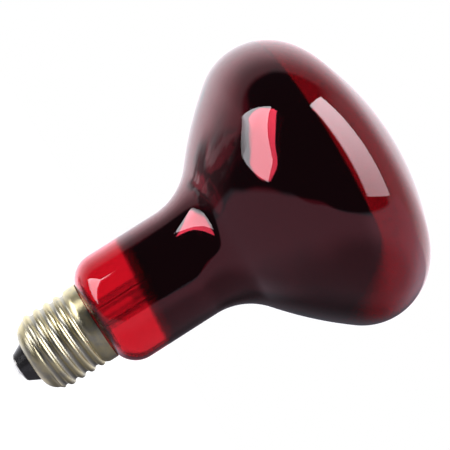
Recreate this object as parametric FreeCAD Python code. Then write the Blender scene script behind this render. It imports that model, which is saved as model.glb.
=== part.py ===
import FreeCAD, Part
import math
import os

from FreeCAD import Vector

# Infrared heat lamp bulb with a 27 mm Edison screw cap.
# The frame stands on the lamp's axis: the origin is the tip of the cap, and +Z runs to the face.
# Lengths are in millimetres and angles in degrees.

# Glass envelope, all sizes of its outer surface
bulb_diameter = 100.0
neck_diameter = 37.5
neck_length = 33.0
glass_wall = 1.0
neck_fillet_radius = 20.0
shoulder_angle = 51.0
shoulder_radius = 125.0
edge_radius = 20.8
face_radius = 84.0

# Closed end of the neck, where it narrows into the cap and is sealed to the stem
neck_end_radius = 9.0
seal_diameter = 21.6
seal_depth = 8.5
seal_fillet_radius = 1.5
rim_clearance = 0.2

# Glass stem: flared tube, flat press, exhaust tube, and the arbor with the button that carries the supports
stem_diameter = 10.6
stem_wall = 1.1
stem_tube_length = 21.0
press_length = 10.0
press_thickness = 3.6
press_slope_length = 4.0
exhaust_diameter = 4.0
exhaust_bore = 2.4
exhaust_tail_length = 6.0
exhaust_tip_length = 2.5
exhaust_port_diameter = 1.6
arbor_diameter = 2.6
arbor_length = 15.0
button_diameter = 5.2

# Filament and its wires
filament_diameter = 1.5
filament_ring_diameter = 24.0
filament_rise = 7.0
filament_bend_radius = 2.0
filament_turn_angle = 60.0
support_count = 3
support_diameter = 0.5
support_grip = 1.4
inner_lead_diameter = 0.9
inner_lead_bend_radius = 3.0
inner_lead_overrun = 1.6
outer_lead_diameter = 0.6
outer_lead_bend_radius = 1.5
lead_spacing = 6.2
lead_joint_depth = 4.0
side_lead_overrun = 0.6

# Screw shell, rolled from thin brass sheet
thread_major_diameter = 26.3
thread_pitch = 3.629
thread_depth = 1.06
shell_wall = 0.3
shell_length = 23.7
shell_end_radius = 5.3
skirt_diameter = 26.5
skirt_length = 5.0
skirt_step_angle = 45.0
thread_runout = 1.9
thread_overlap = 0.9
thread_foot_angle = 12.0
crest_facets = 3
root_strip_angle = 18.0
notch_width = 0.9
notch_depth = 1.7

# Insulator, contact and solder at the tip of the cap
insulator_height = 3.8
insulator_tip_diameter = 9.6
insulator_rise = 1.6
insulator_seat_angle = 45.0
contact_diameter = 9.0
contact_edge = 0.3
contact_thickness = 0.9
contact_land_diameter = 5.4
eyelet_diameter = 3.2
eyelet_wall = 0.4
eyelet_length = 1.5
solder_diameter = 5.0
solder_height = 0.6
solder_plug_length = 1.0
side_solder_diameter = 2.4
cement_top_gap = 0.4
cement_bottom_gap = 0.4

# How far a shape that cuts another passes the surface it cuts
cut_overrun = 1.0

# Levels along the axis
contact_level = solder_height
insulator_level = contact_level + contact_thickness
shell_level = insulator_level + insulator_height
rim_level = shell_level + shell_length
skirt_level = rim_level - skirt_length
seal_level = rim_level - seal_depth
fillet_level = rim_level + neck_length

# Radii and centres of the envelope's outer surface
# Neck fillet, shoulder, edge and face follow each other smoothly
neck_radius = neck_diameter / 2
seal_radius = seal_diameter / 2
skirt_radius = skirt_diameter / 2
shoulder_foot = math.radians(shoulder_angle)
fillet_centre_r = neck_radius + neck_fillet_radius
shoulder_reach = shoulder_radius + neck_fillet_radius
shoulder_centre_r = fillet_centre_r - shoulder_reach * math.cos(shoulder_foot)
shoulder_centre_z = fillet_level + shoulder_reach * math.sin(shoulder_foot)
edge_centre_r = bulb_diameter / 2 - edge_radius
shoulder_top = math.acos((edge_centre_r - shoulder_centre_r) / (shoulder_radius - edge_radius))
edge_centre_z = shoulder_centre_z - (shoulder_radius - edge_radius) * math.sin(shoulder_top)
face_centre_z = edge_centre_z - math.sqrt((face_radius - edge_radius) ** 2 - edge_centre_r**2)
edge_top = math.atan2(edge_centre_z - face_centre_z, edge_centre_r)

# The neck's rounded end clears the cap's rim, and a small fillet turns it into the seal
end_centre_r = neck_radius - neck_end_radius
glass_radius_at_rim = skirt_radius - shell_wall - rim_clearance
end_centre_z = rim_level + math.sqrt(neck_end_radius**2 - (glass_radius_at_rim - end_centre_r) ** 2)
seal_centre_r = seal_radius + seal_fillet_radius
seal_centre_z = end_centre_z - math.sqrt(
    (neck_end_radius + seal_fillet_radius) ** 2 - (seal_centre_r - end_centre_r) ** 2
)

# Stem levels and radii
stem_radius = stem_diameter / 2
stem_bore_radius = stem_radius - stem_wall
seal_bore_radius = seal_radius - glass_wall
flare_radius = seal_bore_radius - stem_radius
flare_centre_z = seal_level + stem_wall + flare_radius
press_level = rim_level + stem_tube_length
press_top = press_level + press_length
button_level = press_top + arbor_length
filament_level = button_level + filament_rise
tail_level = seal_level - exhaust_tail_length
lead_x = lead_spacing / 2
lead_joint_level = press_level + lead_joint_depth

# Thread: crest and root are arcs of one radius that meet smoothly halfway up the flank
thread_major_radius = thread_major_diameter / 2
thread_minor_radius = thread_major_radius - thread_depth
thread_arc_radius = (thread_depth**2 + (thread_pitch / 2) ** 2) / (4 * thread_depth)
core_radius = thread_minor_radius + thread_arc_radius * (1 - math.cos(math.radians(root_strip_angle)))
shell_flat_radius = core_radius - shell_end_radius
skirt_turn = math.radians(skirt_step_angle)
skirt_rise = (skirt_radius - core_radius) / math.tan(skirt_turn)
runout_level = shell_level + shell_end_radius
axis_direction = Vector(0, 0, 1)


def point(r, z):
    return Vector(r, 0, z)


def arc_point(centre_r, centre_z, radius, angle):
    return point(centre_r + radius * math.cos(angle), centre_z + radius * math.sin(angle))


def line(a, b):
    return Part.LineSegment(a, b).toShape()


def arc(centre_r, centre_z, radius, start, end):
    """An arc in the plane of a profile, from one angle to another."""
    angles = (start, (start + end) / 2, end)
    return Part.Arc(*[arc_point(centre_r, centre_z, radius, a) for a in angles]).toShape()


def revolved(edges):
    """A solid turned about the lamp's axis from the edges of its closed half section."""
    face = Part.Face(Part.Wire(Part.__sortEdges__(edges)))
    return face.revolve(Vector(0, 0, 0), axis_direction, 360)


def cylinder(radius, bottom, top):
    return Part.makeCylinder(radius, top - bottom, Vector(0, 0, bottom))


def rod(corners, diameter, bend_radius):
    """A round wire along straight runs joined by tangent bends."""
    edges = []
    start = corners[0]
    for before, corner, after in zip(corners, corners[1:], corners[2:]):
        arriving = (corner - before).normalize()
        leaving = (after - corner).normalize()
        half_turn = arriving.getAngle(leaving) / 2
        setback = bend_radius * math.tan(half_turn)
        first = corner - arriving * setback
        last = corner + leaving * setback
        inward = (leaving - arriving).normalize()
        middle = corner + inward * (bend_radius / math.cos(half_turn) - bend_radius)
        edges += [line(start, first), Part.Arc(first, middle, last).toShape()]
        start = last
    edges.append(line(start, corners[-1]))
    section = Part.Wire(Part.makeCircle(diameter / 2, corners[0], corners[1] - corners[0]))
    return Part.Wire(edges).makePipeShell([section], True, False)


def envelope_edges(inset):
    """The envelope's half section from the seal to the face, moved inward by the inset."""
    end = neck_end_radius - inset
    seal_fillet = seal_fillet_radius + inset
    fillet = neck_fillet_radius + inset
    shoulder = shoulder_radius - inset
    edge = edge_radius - inset
    face = face_radius - inset
    seal_turn = math.atan2(seal_centre_z - end_centre_z, seal_centre_r - end_centre_r)
    return [
        line(point(seal_radius - inset, seal_level), point(seal_radius - inset, seal_centre_z)),
        arc(seal_centre_r, seal_centre_z, seal_fillet, math.pi, math.pi + seal_turn),
        arc(end_centre_r, end_centre_z, end, seal_turn, 0),
        line(point(neck_radius - inset, end_centre_z), point(neck_radius - inset, fillet_level)),
        arc(fillet_centre_r, fillet_level, fillet, math.pi, math.pi - shoulder_foot),
        arc(shoulder_centre_r, shoulder_centre_z, shoulder, -shoulder_foot, -shoulder_top),
        arc(edge_centre_r, edge_centre_z, edge, -shoulder_top, edge_top),
        arc(0, face_centre_z, face, edge_top, math.pi / 2),
    ]


def envelope_solid(inset):
    """All the space inside one surface of the envelope."""
    apex = point(0, face_centre_z + face_radius - inset)
    foot = point(0, seal_level)
    seal_edge = point(seal_radius - inset, seal_level)
    return revolved(envelope_edges(inset) + [line(apex, foot), line(foot, seal_edge)])


def make_glass_bulb():
    return envelope_solid(0).cut(envelope_solid(glass_wall))


def support_angles():
    """Directions of the support wires: the filament runs past them from lead to lead, symmetric about +Y."""
    first = 90 - filament_turn_angle * (support_count - 1) / 2
    return [first + filament_turn_angle * i for i in range(support_count)]


def on_ring(angle, radius):
    turn = math.radians(angle)
    return Vector(radius * math.cos(turn), radius * math.sin(turn), filament_level)


def filament_ends():
    """Where the filament meets its leads, on the +X and on the -X side."""
    angles = support_angles()
    radius = filament_ring_diameter / 2
    first = angles[0] - filament_turn_angle
    last = angles[-1] + filament_turn_angle
    return [on_ring(first, radius), on_ring(last, radius)]


def make_inner_lead(side):
    """A nickel wire from the middle of the press to a filament end; side is 0 at +X and 1 at -X."""
    end = filament_ends()[side]
    x = lead_x if side == 0 else -lead_x
    corners = [
        Vector(x, 0, lead_joint_level),
        Vector(x, 0, press_top + inner_lead_bend_radius),
        end - Vector(0, 0, filament_rise),
        end + Vector(0, 0, inner_lead_overrun),
    ]
    return rod(corners, inner_lead_diameter, inner_lead_bend_radius)


def make_filament(leads):
    """The coil's outer form: a tube hung between the two leads on straight runs past the supports."""
    radius = filament_ring_diameter / 2
    first, last = filament_ends()
    corners = [first] + [on_ring(a, radius) for a in support_angles()] + [last]
    tube = rod(corners, filament_diameter, filament_bend_radius)
    for lead in leads:
        tube = tube.cut(lead)
    return tube


def make_supports(filament):
    """Straight wires set in the button, each ending against the underside of the filament."""
    half_turn = math.radians(filament_turn_angle / 2)
    bend_inset = filament_bend_radius * (1 / math.cos(half_turn) - 1)
    grip_radius = button_diameter / 2 - support_grip
    supports = []
    for angle in support_angles():
        end = on_ring(angle, filament_ring_diameter / 2 - bend_inset)
        start = Vector(0, 0, button_level)
        direction = (end - start).normalize()
        wire = rod([start + direction * grip_radius, end], support_diameter, filament_bend_radius)
        supports.append(wire.cut(filament))
    return supports


def make_outer_lead_centre():
    """A copper wire from the press down the stem and past the exhaust tip to the centre contact."""
    turn_level = tail_level - exhaust_tip_length - outer_lead_bend_radius
    corners = [
        Vector(-lead_x, 0, lead_joint_level),
        Vector(-lead_x, 0, turn_level),
        Vector(0, 0, turn_level - lead_x),
        Vector(0, 0, contact_level + outer_lead_diameter / 2),
    ]
    return rod(corners, outer_lead_diameter, outer_lead_bend_radius)


def make_outer_lead_side():
    """A copper wire that goes round the seal and up inside the shell, and leaves by the notch in the rim."""
    out_radius = (seal_radius + thread_minor_radius - shell_wall) / 2
    out_level = seal_level - outer_lead_bend_radius - outer_lead_diameter
    notch_level = rim_level - notch_depth + notch_width / 2
    corners = [
        Vector(lead_x, 0, lead_joint_level),
        Vector(lead_x, 0, out_level),
        Vector(out_radius, 0, out_level),
        Vector(out_radius, 0, notch_level),
        Vector(skirt_radius + side_lead_overrun, 0, notch_level),
    ]
    tight_bend = min(outer_lead_bend_radius, skirt_radius - out_radius)
    return rod(corners, outer_lead_diameter, tight_bend)


def make_press_wedges():
    """The two slices that the press squeezes off the round stem."""
    beyond = stem_radius + cut_overrun
    above = press_top + cut_overrun
    corners = [
        (stem_radius, press_level),
        (press_thickness / 2, press_level + press_slope_length),
        (press_thickness / 2, above),
        (beyond, above),
        (beyond, press_level),
    ]
    wedges = []
    for sign in (1, -1):
        wire = Part.makePolygon([Vector(-beyond, sign * y, z) for y, z in corners + corners[:1]])
        wedges.append(Part.Face(wire).extrude(Vector(2 * beyond, 0, 0)))
    return wedges


def make_glass_stem(embedded):
    """The stem as one fused piece of glass, with a channel for each wire that is set in it."""
    exhaust_radius = exhaust_diameter / 2
    bore_radius = exhaust_bore / 2
    tip_level = tail_level - exhaust_tip_length
    flare_rim = point(seal_bore_radius, seal_level + stem_wall)
    body = revolved(
        [
            line(point(0, tip_level), point(bore_radius, tip_level)),
            line(point(bore_radius, tip_level), point(exhaust_radius, tail_level)),
            line(point(exhaust_radius, tail_level), point(exhaust_radius, press_level)),
            line(point(exhaust_radius, press_level), point(stem_bore_radius, press_level)),
            line(point(stem_bore_radius, press_level), point(stem_bore_radius, flare_centre_z)),
            arc(seal_bore_radius, flare_centre_z, flare_radius + stem_wall, math.pi, 1.5 * math.pi),
            line(point(seal_bore_radius, seal_level), flare_rim),
            arc(seal_bore_radius, flare_centre_z, flare_radius, 1.5 * math.pi, math.pi),
            line(point(stem_radius, flare_centre_z), point(stem_radius, press_top)),
            line(point(stem_radius, press_top), point(0, press_top)),
            line(point(0, press_top), point(0, tip_level)),
        ]
    )
    for wedge in make_press_wedges():
        body = body.cut(wedge)
    arbor = cylinder(arbor_diameter / 2, press_top - cut_overrun, button_level)
    button = Part.makeSphere(button_diameter / 2, Vector(0, 0, button_level))
    port_level = press_level + exhaust_port_diameter
    bore = cylinder(bore_radius, tail_level, port_level + exhaust_port_diameter / 2)
    port_start = Vector(0, 0, port_level)
    port = Part.makeCylinder(exhaust_port_diameter / 2, stem_radius, port_start, Vector(0, 1, 0))
    body = body.fuse([arbor, button]).cut([bore, port])
    return body.cut(embedded).removeSplitter()


def shell_section(inset):
    """The shell's form without its thread, as a solid inside one of its surfaces."""
    core = core_radius - inset
    skirt = skirt_radius - inset
    step_bottom = skirt_level + inset * math.tan(skirt_turn / 2)
    step_top = step_bottom + skirt_rise
    floor = shell_level + inset
    return revolved(
        [
            line(point(0, floor), point(shell_flat_radius, floor)),
            arc(shell_flat_radius, runout_level, shell_end_radius - inset, -math.pi / 2, 0),
            line(point(core, runout_level), point(core, step_bottom)),
            line(point(core, step_bottom), point(skirt, step_top)),
            line(point(skirt, step_top), point(skirt, rim_level)),
            line(point(skirt, rim_level), point(0, rim_level)),
            line(point(0, rim_level), point(0, floor)),
        ]
    )


def thread_section(inset, level):
    """Half section of the thread's ridge about a level, closed inside the core.

    Straight facets stand in for the rolled arcs: they touch root, flank and crest where those meet.
    """
    crest_r = thread_major_radius - thread_arc_radius
    root_r = thread_minor_radius + thread_arc_radius
    crest_arc = thread_arc_radius - inset
    root_arc = thread_arc_radius + inset
    flank = math.atan2(thread_pitch / 2, root_r - crest_r)
    foot = math.radians(thread_foot_angle)
    below = level - thread_pitch / 2
    above = level + thread_pitch / 2
    low = arc_point(root_r, below, root_arc, math.pi - foot)
    high = arc_point(root_r, above, root_arc, math.pi + foot)
    sunk_r = thread_minor_radius - inset - thread_depth / 2
    turns = [flank * (2 * i / crest_facets - 1) for i in range(crest_facets + 1)]
    crest = [arc_point(crest_r, level, crest_arc, turn) for turn in turns]
    corners = [point(sunk_r, low.z), low] + crest + [high, point(sunk_r, high.z)]
    return [line(a, b) for a, b in zip(corners, corners[1:] + corners[:1])]


def thread_ridge(inset):
    """The helical ridge of the rolled thread: it fades out at the closed end and runs into the skirt."""
    start = runout_level - thread_pitch
    helix = Part.makeLongHelix(thread_pitch, skirt_level + thread_overlap - start, thread_major_radius)
    helix.translate(Vector(0, 0, start))
    section = Part.Wire(Part.__sortEdges__(thread_section(inset, start)))
    ridge = Part.Wire(helix).makePipeShell([section], True, True)

    end_radius = shell_end_radius - inset
    outer_r = thread_major_radius - inset + shell_wall
    fade_level = runout_level - thread_runout
    fade_r = shell_flat_radius + math.sqrt(end_radius**2 - thread_runout**2)
    floor = point(shell_flat_radius, shell_level + inset + shell_wall)
    full = point(outer_r, runout_level)
    room = revolved(
        [
            line(point(0, floor.z), floor),
            Part.Arc(floor, point(fade_r, fade_level), full).toShape(),
            line(full, point(outer_r, rim_level)),
            line(point(outer_r, rim_level), point(0, rim_level)),
            line(point(0, rim_level), point(0, floor.z)),
        ]
    )
    return ridge.common(room)


def make_screw_shell():
    """The rolled shell: one thread inside and outside, an open end for the insulator, a notched rim."""
    outside = shell_section(0).fuse(thread_ridge(0))
    inside = shell_section(shell_wall).fuse(thread_ridge(shell_wall))
    end_hole = cylinder(shell_flat_radius, shell_level - cut_overrun, shell_level + cut_overrun)
    notch_corner = Vector(skirt_radius - cut_overrun, -notch_width / 2, rim_level - notch_depth)
    notch = Part.makeBox(2 * cut_overrun, notch_width, notch_depth + cut_overrun, notch_corner)
    return outside.cut(inside).cut([end_hole, notch])


def make_base_cement(side_lead):
    """The cement between the shell's skirt and the glass, with a channel for the side lead."""
    bottom = skirt_level + skirt_rise + shell_wall + cement_bottom_gap
    ring = cylinder(skirt_radius - shell_wall, bottom, rim_level - cement_top_gap)
    return ring.cut(envelope_solid(0)).cut(side_lead)


def make_base_insulator():
    """Black glass moulded into the shell's closed end and out past it, with a hole for the eyelet."""
    hole_r = eyelet_diameter / 2
    tip_r = insulator_tip_diameter / 2
    seat_radius = shell_end_radius - shell_wall
    seat_turn = math.radians(insulator_seat_angle) - math.pi / 2
    seat_end = arc_point(shell_flat_radius, runout_level, seat_radius, seat_turn)
    top = point(hole_r, shell_level + insulator_rise)
    return revolved(
        [
            line(point(hole_r, insulator_level), point(tip_r, insulator_level)),
            line(point(tip_r, insulator_level), point(shell_flat_radius, shell_level)),
            line(point(shell_flat_radius, shell_level), point(shell_flat_radius, shell_level + shell_wall)),
            arc(shell_flat_radius, runout_level, seat_radius, -math.pi / 2, seat_turn),
            line(seat_end, top),
            line(top, point(hole_r, insulator_level)),
        ]
    )


def make_centre_contact():
    """A shallow domed disc with an eyelet that stands in the insulator's hole."""
    outer_r = contact_diameter / 2
    land_r = contact_land_diameter / 2
    tube_r = eyelet_diameter / 2
    bore_r = tube_r - eyelet_wall
    edge_level = insulator_level - contact_edge
    eyelet_top = insulator_level + eyelet_length
    drop = edge_level - contact_level
    dome_centre_z = contact_level + (outer_r**2 - land_r**2 + drop**2) / (2 * drop)
    dome_radius = math.hypot(land_r, dome_centre_z - contact_level)
    outer_angle = math.atan2(edge_level - dome_centre_z, outer_r)
    land_angle = math.atan2(contact_level - dome_centre_z, land_r)
    return revolved(
        [
            line(point(bore_r, eyelet_top), point(tube_r, eyelet_top)),
            line(point(tube_r, eyelet_top), point(tube_r, insulator_level)),
            line(point(tube_r, insulator_level), point(outer_r, insulator_level)),
            line(point(outer_r, insulator_level), point(outer_r, edge_level)),
            arc(0, dome_centre_z, dome_radius, outer_angle, land_angle),
            line(point(land_r, contact_level), point(bore_r, contact_level)),
            line(point(bore_r, contact_level), point(bore_r, eyelet_top)),
        ]
    )


def make_centre_solder(centre_lead):
    """The drop of solder that closes the eyelet over the end of the centre lead."""
    drop_r = solder_diameter / 2
    plug_r = eyelet_diameter / 2 - eyelet_wall
    plug_top = contact_level + solder_plug_length
    dome_radius = (drop_r**2 + solder_height**2) / (2 * solder_height)
    rim_angle = math.atan2(contact_level - dome_radius, drop_r)
    drop = revolved(
        [
            arc(0, dome_radius, dome_radius, -math.pi / 2, rim_angle),
            line(point(drop_r, contact_level), point(plug_r, contact_level)),
            line(point(plug_r, contact_level), point(plug_r, plug_top)),
            line(point(plug_r, plug_top), point(0, plug_top)),
            line(point(0, plug_top), point(0, 0)),
        ]
    )
    return drop.cut(centre_lead)


def make_side_solder(side_lead):
    """The drop of solder that joins the side lead to the skirt, just below the rim."""
    drop_level = rim_level - notch_depth + notch_width / 2
    drop = Part.makeSphere(side_solder_diameter / 2, Vector(skirt_radius, 0, drop_level))
    return drop.cut(cylinder(skirt_radius, skirt_level, rim_level)).cut(side_lead)


def make_lamp():
    """Every piece of the lamp by name."""
    inner_leads = [make_inner_lead(0), make_inner_lead(1)]
    centre_lead = make_outer_lead_centre()
    side_lead = make_outer_lead_side()
    filament = make_filament(inner_leads)
    supports = make_supports(filament)
    lamp = {
        "glass_bulb": make_glass_bulb(),
        "glass_stem": make_glass_stem(inner_leads + supports + [centre_lead, side_lead]),
        "inner_lead_right": inner_leads[0],
        "inner_lead_left": inner_leads[1],
        "outer_lead_centre": centre_lead,
        "outer_lead_side": side_lead,
        "filament": filament,
        "screw_shell": make_screw_shell(),
        "base_cement": make_base_cement(side_lead),
        "base_insulator": make_base_insulator(),
        "centre_contact": make_centre_contact(),
        "centre_solder": make_centre_solder(centre_lead),
        "side_solder": make_side_solder(side_lead),
    }
    for number, support in enumerate(supports, 1):
        lamp["filament_support_%d" % number] = support
    return lamp


os.makedirs("parts", exist_ok=True)
for name, shape in make_lamp().items():
    (solid,) = shape.Solids
    solid.exportStep("parts/%s.step" % name)
    box = solid.BoundBox
    print(
        "%s: valid %s, %.1f mm3, z %.2f to %.2f" % (name, solid.isValid(), solid.Volume, box.ZMin, box.ZMax)
    )
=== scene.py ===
"""Looks of the infrared heat lamp bulb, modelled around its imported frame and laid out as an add-on."""

import math

import bpy
from bpy.props import FloatProperty, FloatVectorProperty, IntProperty, PointerProperty
from mathutils import Matrix, Vector


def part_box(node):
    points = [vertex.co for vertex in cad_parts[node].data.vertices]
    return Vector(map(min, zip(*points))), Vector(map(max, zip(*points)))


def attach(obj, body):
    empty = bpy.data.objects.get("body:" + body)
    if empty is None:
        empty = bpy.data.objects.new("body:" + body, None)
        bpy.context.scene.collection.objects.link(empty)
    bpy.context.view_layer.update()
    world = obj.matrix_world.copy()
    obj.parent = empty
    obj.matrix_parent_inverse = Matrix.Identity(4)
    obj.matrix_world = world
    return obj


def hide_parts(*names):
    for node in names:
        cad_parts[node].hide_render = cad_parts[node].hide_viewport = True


bl_info = {
    "name": "Infrared Heat Lamp Bulb",
    "version": (1, 0, 0),
    "blender": (4, 5, 0),
    "location": "View3D > Sidebar > Heat Lamp",
    "description": "Models and finishes an infrared heat lamp bulb around its frame",
    "category": "Add Mesh",
}

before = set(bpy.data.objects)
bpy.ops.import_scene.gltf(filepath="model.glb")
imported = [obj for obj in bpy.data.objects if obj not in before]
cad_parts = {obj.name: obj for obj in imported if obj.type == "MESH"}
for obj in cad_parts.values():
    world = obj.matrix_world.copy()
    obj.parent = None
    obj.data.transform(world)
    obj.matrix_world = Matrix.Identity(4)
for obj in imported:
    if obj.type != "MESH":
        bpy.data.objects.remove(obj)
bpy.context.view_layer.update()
glass_low, glass_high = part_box("glass_bulb")
shell_low, shell_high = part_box("screw_shell")
filament_low, filament_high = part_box("filament")

MM = 0.001
FULL_TURN = 2 * math.pi
MERGE_DISTANCE = 1e-6
SMOOTH_ANGLE = math.radians(40)

# Which way an arc of the envelope curves
ROUND = 1
HOLLOW = -1

# Divisions of the envelope, from its seal to its face and around
SEAL_PARTS = 6
NECK_END_PARTS = 22
FILLET_PARTS = 22
SHOULDER_PARTS = 26
EDGE_PARTS = 40
FACE_PARTS = 26
GLASS_STEPS = 192

# Divisions of the screw shell, from its closed end to its skirt and around
SHELL_END_PARTS = 26
THREAD_RINGS = 96
SKIRT_BEND_RINGS = 14
SHELL_STEPS = 180

# Divisions of the filament: a bend of its route, a turn of its coil and a ring of its wire
COIL_BEND_PARTS = 8
COIL_STEPS = 14
WIRE_SIDES = 6

# Width of the picture in pixels
IMAGE_WIDTH = 450

# Corners of the light panels from the bulb's middle, as metres right, up and away
LEFT_PANEL_CORNERS = ((-0.27, 0.02, -0.05), (-0.25, -0.07, -0.13), (-0.31, 0.11, -0.01), (-0.20, 0.25, -0.18))
RIGHT_PANEL_CORNERS = ((0.41, -0.03, -0.44), (0.58, 0.07, -0.14), (0.07, 0.51, -0.31), (0.22, 0.55, -0.13))

# Share of a panel's light at its far side
FAR_SIDE_LIGHT = 0.4


def length_property(name, description, default):
    """A length that a user can set."""
    return FloatProperty(name=name, description=description, default=default, unit="LENGTH")


def angle_property(name, description, default):
    """An angle that a user can set."""
    return FloatProperty(name=name, description=description, default=default, subtype="ANGLE")


def colour_property(name, description, default):
    """A colour that a user can set."""
    return FloatVectorProperty(name=name, description=description, default=default, subtype="COLOR")


class GlassSettings(bpy.types.PropertyGroup):
    """Form of the blown envelope and the reach of the mirror film inside it."""

    bulb_radius: length_property("Bulb Radius", "Radius at the widest ring", glass_high.x)
    neck_radius: length_property("Neck Radius", "Radius of the straight neck", 18.75 * MM)
    neck_length: length_property("Neck Length", "From the cap's rim to the fillet", 33 * MM)
    neck_wall: length_property("Neck Wall", "Thickness of the glass in the neck", 1 * MM)
    face_wall: length_property("Face Wall", "Thickness of the glass at the face", 0.6 * MM)
    fillet_radius: length_property("Neck Fillet", "Radius where the neck flares out", 20 * MM)
    shoulder_angle: angle_property(
        "Shoulder Angle", "Turn from the neck to the foot of the shoulder", math.radians(51)
    )
    shoulder_radius: length_property("Shoulder Radius", "Radius of the shoulder's arc", 125 * MM)
    edge_radius: length_property("Edge Radius", "Radius of the rounded edge", 20.8 * MM)
    face_radius: length_property("Face Radius", "Radius of the domed face", 84 * MM)
    end_radius: length_property("Neck End Radius", "Rounding of the neck into the cap", 9 * MM)
    end_rise: length_property(
        "Neck End Rise", "Height of the rounding's centre above the cap's rim", 8.485 * MM
    )
    seal_radius: length_property("Seal Radius", "Radius of the sealed end in the cap", 10.8 * MM)
    seal_fillet: length_property("Seal Fillet", "Small rounding into the seal", 1.5 * MM)
    film_depth: length_property("Film Depth", "Depth of the film in the glass's inner skin", 0.1 * MM)
    film_thickness: length_property("Film Thickness", "Thickness of the film's sheet", 0.05 * MM)
    film_start: length_property("Film Start", "Level of the film's edge in the neck", 46.2 * MM)
    film_end: length_property("Film End", "Level of the film's edge at the face", 113 * MM)
    film_fade: length_property("Film Fade", "Width of the film's soft edge", 2.4 * MM)
    film_margin: length_property(
        "Film Margin", "Width of the thin film at the neck before it is dense", 6 * MM
    )
    film_side: angle_property(
        "Film Side", "Direction about the axis in which the film's edges reach lowest", math.radians(210)
    )
    neck_tilt: angle_property("Neck Tilt", "Slope of the film's edge in the neck", math.radians(5.5))
    face_tilt: angle_property("Face Tilt", "Slope of the film's edge at the face", math.radians(3.4))
    face_dip: length_property("Face Dip", "Drop of the film's edge at the face on its low side", 14 * MM)


class CapSettings(bpy.types.PropertyGroup):
    """Form of the rolled screw shell."""

    core_radius: length_property("Core Radius", "Radius of the shell between the ridges", 12.14 * MM)
    end_radius: length_property("End Radius", "Rounding of the closed end", 5.3 * MM)
    skirt_length: length_property("Skirt Length", "Plain length below the rim", 5 * MM)
    skirt_bend: length_property("Skirt Bend", "Length of the bend from the thread to the skirt", 2.4 * MM)
    wall: length_property("Wall", "Thickness of the sheet", 0.3 * MM)
    thread_radius: length_property("Thread Radius", "Radius over the ridge", 13.15 * MM)
    thread_depth: length_property("Thread Depth", "Height of the ridge", 1.06 * MM)
    thread_pitch: length_property("Thread Pitch", "Rise of the ridge in one turn", 3.629 * MM)
    thread_runout: length_property(
        "Thread Run-out", "Length over which the ridge fades at the closed end", 1.9 * MM
    )
    notch_width: length_property("Notch Width", "Notch for the side lead", 0.9 * MM)
    notch_depth: length_property("Notch Depth", "Depth of the notch below the rim", 1.7 * MM)


class FilamentSettings(bpy.types.PropertyGroup):
    """Form of the coiled filament."""

    ring_radius: length_property("Ring Radius", "Distance of the corners from the axis", 12 * MM)
    run_angle: angle_property("Run Angle", "Turn about the axis between two corners", math.radians(60))
    runs: IntProperty(name="Runs", description="Straight runs between the leads", default=4, min=2)
    bend_radius: length_property("Bend Radius", "Bend of the coil at a support", 2 * MM)
    wire_radius: length_property("Wire Radius", "Radius of the coiled wire", 0.08 * MM)
    coil_pitch: length_property("Coil Pitch", "Rise of the wire in one turn", 0.42 * MM)


class FinishSettings(bpy.types.PropertyGroup):
    """Colours of the lamp's materials."""

    ruby: colour_property(
        "Ruby Glass", "Light that one wall of the envelope lets through", (0.62, 0.056, 0.092)
    )
    face_ruby: colour_property(
        "Face Ruby", "Light that the deeper coloured wall at the face lets through", (0.33, 0.025, 0.045)
    )
    stem_glass: colour_property("Stem Glass", "Light that the stem lets through", (0.99, 1, 0.99))
    film: colour_property("Mirror Film", "Metal film in the glass", (0.185, 0.125, 0.135))
    brass: colour_property("Nickelled Brass", "Clean sheet of the shell", (0.74, 0.65, 0.38))
    # Tarnish colour of the dull patches, also used as painted shade in the thread's grooves
    tarnish_and_groove_shade: colour_property("Tarnish", "Dull sheet of the shell", (0.39, 0.40, 0.39))
    black_glass: colour_property("Black Glass", "Insulator", (0.016, 0.015, 0.016))
    dust: colour_property("Dust", "Specks on the insulator", (0.03, 0.03, 0.03))
    cement: colour_property("Cement", "Basing cement", (0.42, 0.27, 0.16))
    tungsten: colour_property("Tungsten", "Wire of the filament", (0.32, 0.31, 0.30))
    copper: colour_property("Copper", "Outer leads", (0.62, 0.33, 0.22))
    nickel: colour_property("Nickel", "Inner leads", (0.56, 0.53, 0.48))
    molybdenum: colour_property("Molybdenum", "Filament supports", (0.38, 0.37, 0.36))
    solder: colour_property("Solder", "Solder at both leads", (0.58, 0.58, 0.57))
    contact: colour_property("Contact", "Plate of the centre contact", (0.62, 0.60, 0.56))


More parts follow.
